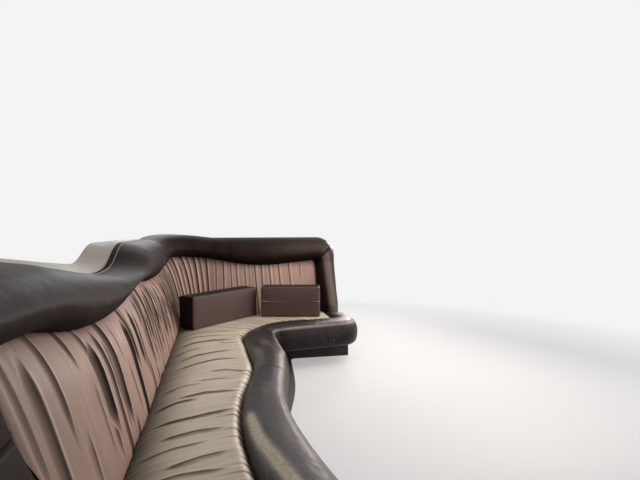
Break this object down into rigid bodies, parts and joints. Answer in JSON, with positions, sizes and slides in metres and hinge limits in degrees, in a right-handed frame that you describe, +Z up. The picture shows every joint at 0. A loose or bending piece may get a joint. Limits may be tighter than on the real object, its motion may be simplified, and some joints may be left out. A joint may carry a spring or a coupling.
{
  "type": "J-shaped lounge seat of a limousine cabin",
  "caption": "Upholstered J-shaped lounge seat: long side bench, rounded corner and rear bench with gathered leather, wavy padded rolls and loose box cushions on a plywood plinth.",
  "frame": {"origin": "on the cabin floor, under the middle of the seat's bounding box", "axes": "+Z up from the floor, +X from the cabin wall towards the aisle, +Y along the side bench towards the rear bench"},
  "size_m": [1.47, 2.84, 0.806],
  "materials": {
    "gathered_leather": "soft sheen, gathered",
    "roll_leather": "satin, grained",
    "cushion_leather": "satin",
    "kick_cover": "matt vinyl cover",
    "plywood": "raw",
    "zinc_steel": "zinc plated"
  },
  "bodies": {
    "root": {"arm_near": "roll_leather", "back_board_corner": "plywood", "back_board_rear": "plywood", "back_board_side": "plywood", "back_pad_corner": "gathered_leather", "back_pad_rear": "gathered_leather", "back_pad_side": "gathered_leather", "box_cushion_left": "cushion_leather", "box_cushion_right": "cushion_leather", "bulkhead_1": "plywood", "bulkhead_2": "plywood", "bulkhead_3": "plywood", "bulkhead_4": "plywood", "bulkhead_5": "plywood", "deck": "plywood", "end_roll_near": "roll_leather", "end_roll_right": "roll_leather", "floor_angle_1": "zinc_steel", "floor_angle_2": "zinc_steel", "floor_angle_3": "zinc_steel", "floor_angle_4": "zinc_steel", "front_roll_main": "roll_leather", "front_roll_near": "roll_leather", "ledge": "roll_leather", "plinth": "kick_cover", "rear_rib_1": "plywood", "rear_rib_2": "plywood", "rear_rib_3": "plywood", "rib_1": "plywood", "rib_2": "plywood", "rib_3": "plywood", "rib_4": "plywood", "rib_5": "plywood", "seat_pad": "gathered_leather", "top_roll_corner": "roll_leather", "top_roll_rear": "roll_leather", "top_roll_side": "roll_leather", "wall_rail": "plywood"}
  },
  "joints": []
}
